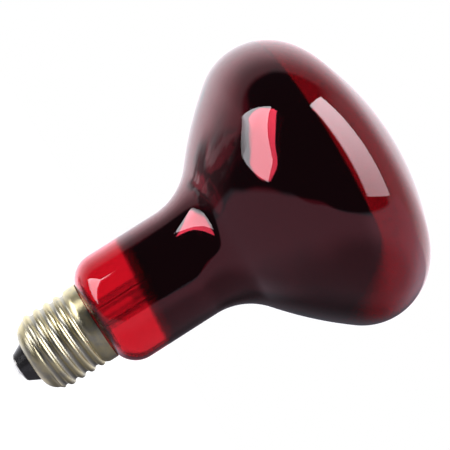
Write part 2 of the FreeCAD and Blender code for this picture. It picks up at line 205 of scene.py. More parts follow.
class StageSettings(bpy.types.PropertyGroup):
    """Camera, light and floor."""

    azimuth: angle_property(
        "Camera Azimuth", "Direction of the camera about the lamp's axis", math.radians(120)
    )
    pitch: angle_property("Camera Pitch", "Upward tilt of the view", math.radians(4.772))
    lean: angle_property("Lamp Lean", "Rise of the lamp's axis across the picture", math.radians(32.25))
    distance: length_property("Camera Distance", "From the camera to its target", 366 * MM)
    target_level: length_property("Target Level", "Level on the axis that the camera looks at", 79.385 * MM)
    target_offset: length_property("Target Offset", "Offset of the axis across the view", 3.67 * MM)
    focal_pixels: FloatProperty(
        name="Focal Length", description="Focal length in pixels of the picture", default=1150, min=100
    )
    sensor: FloatProperty(name="Sensor", description="Width of the sensor in millimetres", default=36)
    left_panel: FloatVectorProperty(
        name="Left Panel",
        description="Brightness of the left panel, low and high",
        default=(5.7, 8.3),
        size=2,
    )
    right_panel: FloatVectorProperty(
        name="Right Panel",
        description="Brightness of the right panel, low and high",
        default=(4.5, 10.5),
        size=2,
    )
    panel_fade: FloatProperty(
        name="Panel Fade",
        description="Share of a panel over which its far side fades",
        default=0.1,
        min=0.01,
        max=1,
        subtype="FACTOR",
    )
    light_tint: colour_property("Light Tint", "Colour of the studio light", (1.0, 1.0, 1.06))
    dark_room: colour_property("Dark Room", "Light from the dark room", (0.036, 0.038, 0.048))
    table_tint: colour_property("Table Tint", "Colour of the pale table", (0.98, 0.96, 1.14))
    floor_size: length_property("Floor Size", "Side of the floor", 6.0)


def along_arc(centre, radius, start, end, parts):
    """Points of an arc in the half section, as distance from the axis and level."""
    angles = [start + (end - start) * i / parts for i in range(parts + 1)]
    return [(centre[0] + radius * math.cos(a), centre[1] + radius * math.sin(a)) for a in angles]


def draw_chain(points):
    """Draws a chain of vertices from one that is selected at the first point."""
    for before, after in zip(points, points[1:]):
        step = Vector(after) - Vector(before)
        bpy.ops.mesh.extrude_vertices_move(TRANSFORM_OT_translate={"value": step})


def start_piece(name, place):
    """Starts a piece as a plane merged to one vertex at its place, and stays in edit mode."""
    bpy.ops.object.select_all(action="DESELECT")
    bpy.ops.mesh.primitive_plane_add(size=MM)
    piece = bpy.context.object
    piece.name = name
    piece.data.name = name
    bpy.ops.object.mode_set(mode="EDIT")
    bpy.ops.mesh.merge(type="CENTER")
    bpy.ops.transform.translate(value=place)
    return piece


def spin_profile(name, profile, steps):
    """A body turned about the lamp's axis from its half section."""
    points = [(r, 0, z) for r, z in profile]
    piece = start_piece(name, points[0])
    draw_chain(points)
    bpy.ops.mesh.select_all(action="SELECT")
    bpy.ops.mesh.spin(steps=steps, angle=FULL_TURN, center=(0, 0, 0), axis=(0, 0, 1))
    bpy.ops.mesh.select_all(action="SELECT")
    bpy.ops.mesh.remove_doubles(threshold=MERGE_DISTANCE)
    bpy.ops.mesh.normals_make_consistent(inside=False)
    bpy.ops.object.mode_set(mode="OBJECT")
    return piece


def make_active(piece):
    """Selects one piece alone and makes it the active one."""
    bpy.ops.object.select_all(action="DESELECT")
    piece.select_set(True)
    bpy.context.view_layer.objects.active = piece


def apply_modifier(piece, kind, **values):
    """Adds a modifier with its values and applies it."""
    make_active(piece)
    bpy.ops.object.modifier_add(type=kind)
    modifier = piece.modifiers[-1]
    for name, value in values.items():
        setattr(modifier, name, value)
    bpy.ops.object.modifier_apply(modifier=modifier.name)


def smooth(piece):
    """Shades a piece smooth except over its sharp edges."""
    make_active(piece)
    bpy.ops.object.shade_smooth_by_angle(angle=SMOOTH_ANGLE)


def dress(piece, material):
    """Gives a piece its one material."""
    piece.data.materials.clear()
    piece.data.materials.append(material)


def envelope_arcs(glass):
    """Centre, radius, end angles, divisions and side of each arc of the envelope's outer surface."""
    rim = shell_high.z
    fillet_level = rim + glass.neck_length
    foot = glass.shoulder_angle
    fillet_r = glass.neck_radius + glass.fillet_radius
    reach = glass.shoulder_radius + glass.fillet_radius
    shoulder = (fillet_r - reach * math.cos(foot), fillet_level + reach * math.sin(foot))
    edge_r = glass.bulb_radius - glass.edge_radius
    inner_reach = glass.shoulder_radius - glass.edge_radius
    top = math.acos((edge_r - shoulder[0]) / inner_reach)
    edge = (edge_r, shoulder[1] - inner_reach * math.sin(top))
    face = (0, edge[1] - math.sqrt((glass.face_radius - glass.edge_radius) ** 2 - edge_r**2))
    edge_top = math.atan2(edge[1] - face[1], edge_r)
    end = (glass.neck_radius - glass.end_radius, rim + glass.end_rise)
    seal_r = glass.seal_radius + glass.seal_fillet
    seal_reach = glass.end_radius + glass.seal_fillet
    seal = (seal_r, end[1] - math.sqrt(seal_reach**2 - (seal_r - end[0]) ** 2))
    seal_turn = math.atan2(seal[1] - end[1], seal[0] - end[0])
    return [
        (seal, glass.seal_fillet, math.pi, math.pi + seal_turn, SEAL_PARTS, HOLLOW),
        (end, glass.end_radius, seal_turn, 0, NECK_END_PARTS, ROUND),
        ((fillet_r, fillet_level), glass.fillet_radius, math.pi, math.pi - foot, FILLET_PARTS, HOLLOW),
        (shoulder, glass.shoulder_radius, -foot, -top, SHOULDER_PARTS, ROUND),
        (edge, glass.edge_radius, -top, edge_top, EDGE_PARTS, ROUND),
        (face, glass.face_radius, edge_top, math.pi / 2, FACE_PARTS, ROUND),
    ]


def wall_at(glass, level):
    """Thickness of the blown wall, which thins over the shoulder."""
    start = shell_high.z + glass.neck_length
    share = min(max((level - start) / (glass.film_end - start), 0), 1)
    return glass.neck_wall + (glass.face_wall - glass.neck_wall) * share


def envelope_profile(glass, depth, clearance=0):
    """Half section from the seal to the face's middle, at a share of the wall's depth and a clearance."""
    inset = depth * glass.neck_wall + clearance
    points = [(glass.seal_radius - inset, glass_low.z)]
    for centre, radius, start, end, parts, side in envelope_arcs(glass):
        for r, z in along_arc(centre, radius, start, end, parts):
            inset = side * (depth * wall_at(glass, z) + clearance) / radius
            place = (r + (centre[0] - r) * inset, z + (centre[1] - z) * inset)
            if (Vector(place) - Vector(points[-1])).length > MERGE_DISTANCE:
                points.append(place)
    return points


def film_profile(glass, clearance):
    """The part of the inner surface that the film covers, with room for its soft edges."""
    start = glass.film_start - glass.neck_radius * math.tan(glass.neck_tilt) - glass.film_fade
    end = glass.film_end + glass.bulb_radius * math.tan(glass.face_tilt) + glass.film_fade
    points = envelope_profile(glass, 1, clearance)
    neck = [(glass.neck_radius - glass.neck_wall - clearance, start)]
    return neck + [(r, z) for r, z in points if start < z < end]


class HEATLAMP_OT_envelope(bpy.types.Operator):
    """Spin the ruby glass envelope, with its outer and inner surfaces"""

    bl_idname = "heat_lamp.envelope"
    bl_label = "Glass Envelope"

    def execute(self, context):
        glass = context.scene.heat_lamp_glass
        outside = envelope_profile(glass, 0)
        inside = envelope_profile(glass, 1)
        envelope = spin_profile("envelope", outside + inside[::-1] + outside[:1], GLASS_STEPS)
        smooth(envelope)
        dress(envelope, ruby_glass(glass, context.scene.heat_lamp_finish))
        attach(envelope, "root")
        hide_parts("glass_bulb")
        return {"FINISHED"}


class HEATLAMP_OT_mirror_film(bpy.types.Operator):
    """Spin the mirror film that lines the shoulder"""

    bl_idname = "heat_lamp.mirror_film"
    bl_label = "Mirror Film"

    def execute(self, context):
        glass = context.scene.heat_lamp_glass
        outside = film_profile(glass, -glass.film_depth)
        inside = film_profile(glass, glass.film_thickness - glass.film_depth)
        film = spin_profile("mirror_film", outside + inside[::-1] + outside[:1], GLASS_STEPS)
        smooth(film)
        dress(film, mirror_film(glass, context.scene.heat_lamp_finish))
        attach(film, "root")
        return {"FINISHED"}


def shell_profile(cap):
    """Half section of the shell's outer surface without its thread, from the closed end to the rim."""
    flat = cap.core_radius - cap.end_radius
    runout = shell_low.z + cap.end_radius
    skirt = shell_high.z - cap.skirt_length
    step = shell_high.x - cap.core_radius
    points = along_arc((flat, runout), cap.end_radius, -math.pi / 2, 0, SHELL_END_PARTS)
    for i in range(1, THREAD_RINGS + 1):
        points.append((cap.core_radius, runout + (skirt - runout) * i / THREAD_RINGS))
    for i in range(1, SKIRT_BEND_RINGS + 1):
        share = i / SKIRT_BEND_RINGS
        radius = cap.core_radius + step * math.sin(share * math.pi / 2)
        points.append((radius, skirt + cap.skirt_bend * share))
    return points + [(shell_high.x, shell_high.z - cap.notch_depth), (shell_high.x, shell_high.z)]


def ridge_radius(cap, offset):
    """Radius of the thread at an offset along the axis from the crest of its ridge."""
    half = cap.thread_pitch / 2
    arc = (cap.thread_depth**2 + half**2) / (4 * cap.thread_depth)
    if abs(offset) <= half / 2:
        return cap.thread_radius - arc + math.sqrt(arc**2 - offset**2)
    return cap.thread_radius - cap.thread_depth + arc - math.sqrt(arc**2 - (half - abs(offset)) ** 2)


def roll_thread(shell, cap):
    """Moves the shell's vertices out to the helical ridge, which fades at the closed end and the skirt."""
    runout = shell_low.z + cap.end_radius
    fade = runout - cap.thread_runout
    skirt = shell_high.z - cap.skirt_length
    for vertex in shell.data.vertices:
        x, y, z = vertex.co
        if not fade < z < skirt + cap.skirt_bend:
            continue
        plain = math.hypot(x, y)
        crest = runout + cap.thread_pitch * math.atan2(y, x) / FULL_TURN
        offset = (z - crest + cap.thread_pitch / 2) % cap.thread_pitch - cap.thread_pitch / 2
        radius = ridge_radius(cap, offset)
        if z < runout:
            risen = (cap.thread_radius - cap.core_radius) * (z - fade) / cap.thread_runout
            radius = max(plain, min(radius, plain + risen))
        if z > skirt:
            radius = max(plain, radius)
        vertex.co = (x * radius / plain, y * radius / plain, z)


def cut_notch(shell, cap):
    """Takes the side lead's notch out of the rim before the sheet gets its thickness."""
    bpy.ops.object.mode_set(mode="EDIT")
    bpy.ops.mesh.select_mode(type="FACE")
    bpy.ops.mesh.select_all(action="DESELECT")
    bpy.ops.object.mode_set(mode="OBJECT")
    for face in shell.data.polygons:
        x, y, z = face.center
        face.select = x > 0 and abs(y) < cap.notch_width / 2 and z > shell_high.z - cap.notch_depth
    bpy.ops.object.mode_set(mode="EDIT")
    bpy.ops.mesh.delete(type="FACE")
    bpy.ops.mesh.select_mode(type="VERT")
    bpy.ops.object.mode_set(mode="OBJECT")


class HEATLAMP_OT_screw_shell(bpy.types.Operator):
    """Spin the shell, roll its thread, notch its rim and give the sheet its thickness"""

    bl_idname = "heat_lamp.screw_shell"
    bl_label = "Screw Shell"

    def execute(self, context):
        cap = context.scene.heat_lamp_cap
        shell = spin_profile("rolled_shell", shell_profile(cap), SHELL_STEPS)
        roll_thread(shell, cap)
        cut_notch(shell, cap)
        apply_modifier(shell, "SOLIDIFY", thickness=cap.wall, offset=-1, use_even_offset=True)
        smooth(shell)
        dress(shell, nickelled_brass(cap, context.scene.heat_lamp_finish))
        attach(shell, "root")
        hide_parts("screw_shell")
        return {"FINISHED"}


def square_to(direction, side):
    """The unit vector square to a direction, on the side given."""
    return (side - direction * side.dot(direction)).normalized()


def filament_points(filament):
    """Corner-rounded route of the coil's middle, from lead to lead."""
    level = (filament_low.z + filament_high.z) / 2
    first = math.pi / 2 - filament.run_angle * filament.runs / 2
    turns = [first + filament.run_angle * i for i in range(filament.runs + 1)]
    ring = [Vector((math.cos(turn), math.sin(turn), 0)) for turn in turns]
    corners = [spoke * filament.ring_radius + Vector((0, 0, level)) for spoke in ring]
    setback = filament.bend_radius * math.tan(filament.run_angle / 2)
    points = [corners[0]]
    for before, corner, after in zip(corners, corners[1:], corners[2:]):
        arriving = (corner - before).normalized()
        leaving = (after - corner).normalized()
        inward = square_to(arriving, leaving - arriving)
        start = corner - arriving * setback
        for i in range(COIL_BEND_PARTS + 1):
            turn = filament.run_angle * i / COIL_BEND_PARTS
            swing = math.sin(turn) * arriving + (1 - math.cos(turn)) * inward
            points.append(start + filament.bend_radius * swing)
    return points + [corners[-1]]


def draw_route(points):
    """A curve through points, for the coil to follow."""
    start_piece("filament_route", points[0])
    draw_chain(points)
    bpy.ops.object.mode_set(mode="OBJECT")
    bpy.ops.object.convert(target="CURVE")
    return bpy.context.object


def wind_coil(filament, length):
    """A straight coil along X, screwed from a ring that is as thick as the wire."""
    coil_radius = (filament_high.z - filament_low.z) / 2 - filament.wire_radius
    turns = int(length / filament.coil_pitch)
    bpy.ops.object.select_all(action="DESELECT")
    bpy.ops.mesh.primitive_circle_add(vertices=WIRE_SIDES, radius=filament.wire_radius, fill_type="NOTHING")
    coil = bpy.context.object
    coil.name = "filament_coil"
    coil.data.name = "filament_coil"
    bpy.ops.object.mode_set(mode="EDIT")
    for axis in ("Y", "Z"):
        bpy.ops.transform.rotate(
            value=math.pi / 2, orient_axis=axis, orient_type="GLOBAL", center_override=(0, 0, 0)
        )
    bpy.ops.transform.translate(value=(0, 0, coil_radius))
    bpy.ops.object.mode_set(mode="OBJECT")
    apply_modifier(
        coil,
        "SCREW",
        axis="X",
        angle=FULL_TURN,
        screw_offset=length / turns,
        iterations=turns,
        steps=COIL_STEPS,
        render_steps=COIL_STEPS,
        use_merge_vertices=True,
        merge_threshold=MERGE_DISTANCE,
    )
    return coil


def close_ends(coil):
    """Fills the two open ends of the wire and turns its faces outwards."""
    make_active(coil)
    bpy.ops.object.mode_set(mode="EDIT")
    bpy.ops.mesh.select_all(action="DESELECT")
    bpy.ops.mesh.select_mode(type="EDGE")
    bpy.ops.mesh.select_non_manifold()
    bpy.ops.mesh.edge_face_add()
    bpy.ops.mesh.select_mode(type="VERT")
    bpy.ops.mesh.select_all(action="SELECT")
    bpy.ops.mesh.normals_make_consistent(inside=False)
    bpy.ops.object.mode_set(mode="OBJECT")


class HEATLAMP_OT_filament(bpy.types.Operator):
    """Coil the tungsten wire and bend the coil along its route past the supports"""

    bl_idname = "heat_lamp.filament"
    bl_label = "Filament"

    def execute(self, context):
        filament = context.scene.heat_lamp_filament
        points = filament_points(filament)
        length = sum((after - before).length for before, after in zip(points, points[1:]))
        route = draw_route(points)
        coil = wind_coil(filament, length)
        apply_modifier(coil, "CURVE", object=route, deform_axis="POS_X")
        bpy.data.objects.remove(route)
        close_ends(coil)
        smooth(coil)
        dress(coil, bare_metal("coiled_tungsten", context.scene.heat_lamp_finish.tungsten, 0.45))
        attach(coil, "root")
        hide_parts("filament")
        return {"FINISHED"}


def new_material(name):
    """A material with its node tree and its main shader."""
    material = bpy.data.materials.new(name)
    material.use_nodes = True
    return material, material.node_tree, material.node_tree.nodes["Principled BSDF"]


def add_node(tree, kind, **values):
    """Adds a node and sets its properties, or its inputs where a value is named for one."""
    node = tree.nodes.new(kind)
    for name, value in values.items():
        if name in node.bl_rna.properties:
            setattr(node, name, value)
        else:
            node.inputs[name.replace("_", " ")].default_value = value
    return node


def add_math(tree, operation, first, second):
    """A math node between two sockets or numbers."""
    node = add_node(tree, "ShaderNodeMath", operation=operation)
    for socket, value in zip(node.inputs, (first, second)):
        if isinstance(value, (int, float)):
            socket.default_value = value
        else:
            tree.links.new(value, socket)
    return node.outputs[0]


def add_sum(tree, first, *others):
    """The sum of sockets or numbers."""
    total = first
    for part in others:
        total = add_math(tree, "ADD", total, part)
    return total


def add_product(tree, first, *others):
    """The product of sockets or numbers."""
    product = first
    for part in others:
        product = add_math(tree, "MULTIPLY", product, part)
    return product


def add_step(tree, value, low, high, start=0.0, end=1.0):
    """A smooth step of a value between two limits, from a start to an end."""
    node = add_node(tree, "ShaderNodeMapRange", interpolation_type="SMOOTHSTEP")
    tree.links.new(value, node.inputs["Value"])
    for name, number in {"From Min": low, "From Max": high, "To Min": start, "To Max": end}.items():
        node.inputs[name].default_value = number
    return node.outputs["Result"]


def add_mix(tree, factor, first, second):
    """A mix of two colours, each a socket or a plain colour."""
    node = add_node(tree, "ShaderNodeMix", data_type="RGBA")
    tree.links.new(factor, node.inputs["Factor"])
    for socket, value in zip((node.inputs[6], node.inputs[7]), (first, second)):
        if isinstance(value, bpy.types.NodeSocket):
            tree.links.new(value, socket)
        else:
            socket.default_value = (*value, 1)
    return node.outputs[2]


def part_along(tree, place, axis):
    """The part of a position or direction that lies along an axis."""
    dot = add_node(tree, "ShaderNodeVectorMath", operation="DOT_PRODUCT")
    dot.inputs[1].default_value = axis
    tree.links.new(place, dot.inputs[0])
    return dot.outputs["Value"]


def wear_group():
    """Dull patches, fine specks and the dents of handled sheet, as masks over the surface."""
    name = "handling_wear"
    if name in bpy.data.node_groups:
        return bpy.data.node_groups[name]
    group = bpy.data.node_groups.new(name, "ShaderNodeTree")
    for socket, default in (("Patch Scale", 160.0), ("Speck Scale", 900.0)):
        scale = group.interface.new_socket(socket, in_out="INPUT", socket_type="NodeSocketFloat")
        scale.default_value = default
    for socket in ("Patches", "Specks", "Dents"):
        group.interface.new_socket(socket, in_out="OUTPUT", socket_type="NodeSocketFloat")
    inside = group.nodes.new("NodeGroupInput")
    outside = group.nodes.new("NodeGroupOutput")
    place = group.nodes.new("ShaderNodeTexCoord").outputs["Object"]

    patches = add_node(group, "ShaderNodeTexNoise", Detail=4.0, Roughness=0.6)
    specks = add_node(group, "ShaderNodeTexNoise", Detail=2.0, Roughness=0.5)
    dents = add_node(group, "ShaderNodeTexNoise", Detail=2.0, Roughness=0.4)
    for node, scale in ((patches, "Patch Scale"), (specks, "Speck Scale"), (dents, "Patch Scale")):
        group.links.new(place, node.inputs["Vector"])
        group.links.new(inside.outputs[scale], node.inputs["Scale"])
    group.links.new(add_step(group, patches.outputs["Fac"], low=0.42, high=0.66), outside.inputs["Patches"])
    group.links.new(add_step(group, specks.outputs["Fac"], low=0.62, high=0.74), outside.inputs["Specks"])
    group.links.new(dents.outputs["Fac"], outside.inputs["Dents"])
    return group


def add_wear(tree, patch_scale, speck_scale=900):
    """Places the wear group in a material with its own scales, and gives its masks."""
    node = tree.nodes.new("ShaderNodeGroup")
    node.node_tree = wear_group()
    node.inputs["Patch Scale"].default_value = patch_scale
    node.inputs["Speck Scale"].default_value = speck_scale
    return node.outputs


def add_colour(tree, shader, mask, first, second):
    """Feeds a mix of two colours by a mask to the shader's base colour."""
    tree.links.new(add_mix(tree, mask, first, second), shader.inputs["Base Color"])


def add_roughness(tree, shader, mask, clean, added):
    """Feeds the roughness of the clean surface and what a mask adds to it to the shader."""
    rough = add_sum(tree, clean, add_product(tree, mask, added))
    tree.links.new(rough, shader.inputs["Roughness"])


def add_bump(tree, shader, height, strength, distance):
    """Feeds a height through a bump node to the shader's normal."""
    bump = add_node(tree, "ShaderNodeBump", Strength=strength, Distance=distance)
    tree.links.new(height, bump.inputs["Height"])
    tree.links.new(bump.outputs["Normal"], shader.inputs["Normal"])


def shaded(colour, share):
    """A colour at a share of its brightness."""
    return tuple(share * part for part in colour)


def film_group(glass):
    """Height above the film's edge in the neck, and how far the film covers at its edge at the face."""
    name = "film_edges"
    if name in bpy.data.node_groups:
        return bpy.data.node_groups[name]
    group = bpy.data.node_groups.new(name, "ShaderNodeTree")
    for socket in ("Above Neck Edge", "Cover"):
        group.interface.new_socket(socket, in_out="OUTPUT", socket_type="NodeSocketFloat")
    outside = group.nodes.new("NodeGroupOutput")
    place = group.nodes.new("ShaderNodeTexCoord").outputs["Object"]

    x = math.cos(glass.film_side)
    y = math.sin(glass.film_side)
    neck = math.tan(glass.neck_tilt)
    face = math.tan(glass.face_tilt)
    above = add_math(group, "SUBTRACT", part_along(group, place, (neck * x, neck * y, 1)), glass.film_start)
    below = add_math(group, "SUBTRACT", glass.film_end, part_along(group, place, (face * x, face * y, 1)))
    low_side = part_along(group, place, (x, y, 0))
    dip_start = 0.4 * glass.bulb_radius
    dip = add_step(group, low_side, low=dip_start, high=glass.bulb_radius, start=0, end=glass.face_dip)
    softness = add_sum(group, dip, glass.film_fade / 4)
    share = add_math(group, "DIVIDE", add_math(group, "SUBTRACT", below, dip), softness)
    group.links.new(above, outside.inputs["Above Neck Edge"])
    group.links.new(add_step(group, share, low=-1, high=1), outside.inputs["Cover"])
    return group


def add_film_edges(tree, glass):
    """Places the film's edges in a material."""
    node = tree.nodes.new("ShaderNodeGroup")
    node.node_tree = film_group(glass)
    return node.outputs


def ruby_glass(glass, finish):
    """Blown red glass, slightly wavy, deeper in colour at the face."""
    material, tree, shader = new_material("ruby_glass_blown")
    shader.inputs["Transmission Weight"].default_value = 1
    shader.inputs["IOR"].default_value = 1.5
    shader.inputs["Roughness"].default_value = 0
    add_colour(tree, shader, add_film_edges(tree, glass)["Cover"], finish.face_ruby, finish.ruby)
    wear = add_wear(tree, patch_scale=22)
    add_bump(tree, shader, wear["Dents"], strength=0.05, distance=0.4 * MM)
    return material


def clear_glass(finish):
    """Colourless stem glass, slightly wavy and hazy, and faint through the red neck."""
    material, tree, shader = new_material("clear_glass_drawn")
    shader.inputs["Base Color"].default_value = (*finish.stem_glass, 1)
    shader.inputs["Transmission Weight"].default_value = 1
    shader.inputs["IOR"].default_value = 1.52
    shader.inputs["Roughness"].default_value = 0.15
    shader.inputs["Alpha"].default_value = 0.45
    wear = add_wear(tree, patch_scale=120)
    add_bump(tree, shader, wear["Dents"], strength=0.15, distance=0.3 * MM)
    return material


def mirror_film(glass, finish):
    """The metal film: wavy, dense on the shoulder, with a thin margin towards the cap and soft edges."""
    material, tree, shader = new_material("mirror_film_deposit")
    shader.inputs["Metallic"].default_value = 1
    shader.inputs["Roughness"].default_value = 0.03
    shader.inputs["Base Color"].default_value = (*finish.film, 1)
    edges = add_film_edges(tree, glass)
    above = edges["Above Neck Edge"]
    half = glass.film_fade / 2
    thin = add_step(tree, above, low=-half, high=half, start=0, end=0.5)
    dense = add_step(tree, above, low=half, high=glass.film_margin, start=0, end=0.5)
    cover = add_product(tree, add_sum(tree, thin, dense), edges["Cover"])
    tree.links.new(cover, shader.inputs["Alpha"])
    wear = add_wear(tree, patch_scale=28)
    add_bump(tree, shader, wear["Dents"], strength=1, distance=1.7 * MM)
    return material


def nickelled_brass(cap, finish):
    """Thin nickel on brass sheet: bright on the ridges, rougher in the grooves with painted shade that
    darkens and greys them, and dull in patches of tarnish.
    """
    material, tree, shader = new_material("nickelled_brass_rolled")
    shader.inputs["Metallic"].default_value = 1
    place = tree.nodes.new("ShaderNodeTexCoord").outputs["Object"]
    flat = add_node(tree, "ShaderNodeVectorMath", operation="MULTIPLY")
    flat.inputs[1].default_value = (1, 1, 0)
    tree.links.new(place, flat.inputs[0])
    reach = add_node(tree, "ShaderNodeVectorMath", operation="LENGTH")
    tree.links.new(flat.outputs["Vector"], reach.inputs[0])
    root = cap.thread_radius - cap.thread_depth
    flank = root + 0.6 * cap.thread_depth
    # Painted shade: darkens and greys the thread's grooves towards their root
    groove_shade = add_step(tree, reach.outputs["Value"], low=root, high=flank, start=0.7, end=0)
    runout = shell_low.z + cap.end_radius
    level = part_along(tree, place, (0, 0, 1))
    threaded = add_step(tree, level, low=runout - cap.thread_runout, high=runout)
    wear = add_wear(tree, patch_scale=170, speck_scale=1400)
    patches = add_product(tree, wear["Patches"], 0.6)
    # Mask of painted groove shade and of real tarnish patches, for colour and roughness
    dull = add_math(tree, "MAXIMUM", add_product(tree, groove_shade, threaded), patches)
    add_colour(tree, shader, dull, finish.brass, finish.tarnish_and_groove_shade)
    add_roughness(tree, shader, dull, clean=0.36, added=0.08)
    add_bump(tree, shader, wear["Dents"], strength=0.3, distance=0.25 * MM)
    return material


def bare_metal(name, colour, roughness):
    """A plain metal with dull patches."""
    material, tree, shader = new_material(name)
    shader.inputs["Metallic"].default_value = 1
    wear = add_wear(tree, patch_scale=300, speck_scale=1500)
    add_colour(tree, shader, wear["Patches"], colour, shaded(colour, 0.6))
    add_roughness(tree, shader, wear["Patches"], clean=roughness, added=0.15)
    return material


def black_glass(finish):
    """Moulded black glass with a dusting of dull specks."""
    material, tree, shader = new_material("black_glass_moulded")
    wear = add_wear(tree, patch_scale=200, speck_scale=1600)
    add_colour(tree, shader, wear["Specks"], finish.black_glass, finish.dust)
    add_roughness(tree, shader, wear["Patches"], clean=0.1, added=0.15)
    add_bump(tree, shader, wear["Dents"], strength=0.1, distance=0.2 * MM)
    return material


def cement(finish):
    """Baked basing cement, grainy and matt."""
    material, tree, shader = new_material("basing_cement")
    wear = add_wear(tree, patch_scale=400, speck_scale=2200)
    add_colour(tree, shader, wear["Patches"], finish.cement, shaded(finish.cement, 0.55))
    shader.inputs["Roughness"].default_value = 0.85
    add_bump(tree, shader, wear["Specks"], strength=0.4, distance=0.2 * MM)
    return material


class HEATLAMP_OT_finishes(bpy.types.Operator):
    """Give the pieces that keep their frame shape their materials"""

    bl_idname = "heat_lamp.finishes"
    bl_label = "Finishes of Plain Pieces"

    def execute(self, context):
        finish = context.scene.heat_lamp_finish
        copper = bare_metal("copper_lead", finish.copper, 0.3)
        nickel = bare_metal("nickel_lead", finish.nickel, 0.3)
        molybdenum = bare_metal("molybdenum_support", finish.molybdenum, 0.35)
        solder = bare_metal("soft_solder", finish.solder, 0.3)
        finishes = {
            "glass_stem": clear_glass(finish),
            "inner_lead_right": nickel,
            "inner_lead_left": nickel,
            "outer_lead_centre": copper,
            "outer_lead_side": copper,
            "filament_support_1": molybdenum,
            "filament_support_2": molybdenum,
            "filament_support_3": molybdenum,
            "base_cement": cement(finish),
            "base_insulator": black_glass(finish),
            "centre_contact": bare_metal("contact_plate", finish.contact, 0.32),
            "centre_solder": solder,
            "side_solder": solder,
        }
        for node, material in finishes.items():
            dress(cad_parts[node], material)
        return {"FINISHED"}


def view_axes(stage):
    """The picture's right, down and away directions in the lamp's frame, and the side square to its axis."""
    axis = Vector((0, 0, 1))
    turn = stage.azimuth + math.pi
    depth = Vector((math.cos(turn), math.sin(turn), 0))
    side = depth.cross(axis)
    away = math.sin(stage.pitch) * axis + math.cos(stage.pitch) * depth
    rise = math.cos(stage.pitch) * axis - math.sin(stage.pitch) * depth
    right = math.cos(stage.lean) * rise + math.sin(stage.lean) * side
    down = math.cos(stage.lean) * side - math.sin(stage.lean) * rise
    return right, down, away, side


def add_camera(stage):
    """Sets the camera at the photograph's view."""
    right, down, away, side = view_axes(stage)
    data = bpy.data.cameras.new("photo_camera")
    data.sensor_width = stage.sensor
    data.lens = stage.sensor * stage.focal_pixels / IMAGE_WIDTH
    data.clip_start = 10 * MM
    camera = bpy.data.objects.new("photo_camera", data)
    bpy.context.scene.collection.objects.link(camera)
    target = Vector((0, 0, stage.target_level)) - side * stage.target_offset
    turn = Matrix((right, -down, -away)).transposed()
    camera.matrix_world = Matrix.Translation(target - away * stage.distance) @ turn.to_4x4()
    bpy.context.scene.camera = camera


def panel_light(name, stage, strength):
    """Light of a panel, from its low edge to its high one, fading on its far side."""
    material = bpy.data.materials.new(name)
    material.use_nodes = True
    tree = material.node_tree
    tree.nodes.clear()
    light = tree.nodes.new("ShaderNodeEmission")
    light.inputs["Color"].default_value = (*stage.light_tint, 1)
    output = tree.nodes.new("ShaderNodeOutputMaterial")
    place = tree.nodes.new("ShaderNodeSeparateXYZ")
    tree.links.new(tree.nodes.new("ShaderNodeTexCoord").outputs["UV"], place.inputs[0])
    upright = add_step(tree, place.outputs["Y"], low=0, high=1, start=strength[0], end=strength[1])
    far_side = add_step(tree, place.outputs["X"], low=0, high=stage.panel_fade, start=FAR_SIDE_LIGHT, end=1)
    tree.links.new(add_product(tree, upright, far_side), light.inputs["Strength"])
    tree.links.new(light.outputs[0], output.inputs["Surface"])
    return material


def add_panel(name, stage, corners, strength):
    """A light panel between its corners, which only reflections and refractions show."""
    right, down, away = view_axes(stage)[:3]
    bpy.ops.object.select_all(action="DESELECT")
    bpy.ops.mesh.primitive_plane_add(size=1)
    panel = bpy.context.object
    panel.name = name
    middle = Vector((0, 0, stage.target_level))
    for vertex, (aside, up, back) in zip(panel.data.vertices, corners):
        vertex.co = middle + aside * right - up * down + back * away
    dress(panel, panel_light(name, stage, strength))
    panel.visible_camera = False
    panel.visible_shadow = False


def add_floor(stage):
    """A plain pale floor under the lamp, kept out of its reflections and clear from below."""
    bpy.ops.object.select_all(action="DESELECT")
    bpy.ops.mesh.primitive_plane_add(size=stage.floor_size)
    floor = bpy.context.object
    floor.name = "pale_floor"
    material, tree, shader = new_material("pale_floor")
    shader.inputs["Base Color"].default_value = (0.4, 0.4, 0.4, 1)
    shader.inputs["Roughness"].default_value = 1
    shader.inputs["Specular IOR Level"].default_value = 0
    shader.inputs["Emission Color"].default_value = (1, 1, 1, 1)
    shader.inputs["Emission Strength"].default_value = 0.9
    clear = tree.nodes.new("ShaderNodeBsdfTransparent")
    from_below = tree.nodes.new("ShaderNodeNewGeometry").outputs["Backfacing"]
    one_sided = tree.nodes.new("ShaderNodeMixShader")
    tree.links.new(from_below, one_sided.inputs["Fac"])
    tree.links.new(shader.outputs[0], one_sided.inputs[1])
    tree.links.new(clear.outputs[0], one_sided.inputs[2])
    tree.links.new(one_sided.outputs[0], tree.nodes["Material Output"].inputs["Surface"])
    dress(floor, material)
    floor.visible_glossy = False
    floor.visible_transmission = False


def backdrop_light(tree, across, depth):
    """Light of the white backdrop behind the lamp and of a wall on its right."""
    border = add_step(tree, depth, low=0, high=0.12, start=0, end=0.33)
    middle = add_step(tree, depth, low=0.1, high=0.75, start=0, end=1.2)
    dimmer_right = add_step(tree, across, low=-0.2, high=0.6, start=1.08, end=0.82)
    backdrop = add_product(tree, add_sum(tree, border, middle), dimmer_right)
    wall_face = add_step(tree, depth, low=-0.32, high=-0.22, start=0, end=0.46)
    wall_side = add_step(tree, across, low=0.3, high=0.6)
    return add_math(tree, "MAXIMUM", backdrop, add_product(tree, wall_face, wall_side))


def height_above_table(tree, across, height, depth):
    """Height of a direction above the table's edge, which drops to the front and dips on the left."""
    front = add_product(tree, add_math(tree, "MINIMUM", depth, 0.0), 0.56)
    back = add_step(tree, depth, low=0, high=0.6, start=0, end=-0.25)
    slope = add_product(tree, across, 0.15)
    dip = add_step(tree, across, low=-0.95, high=-0.68, start=-0.05, end=-0.14)
    rise = add_step(tree, across, low=-0.75, high=-0.2, start=0, end=0.14)
    return add_math(tree, "SUBTRACT", height, add_sum(tree, front, slope, dip, rise, back))


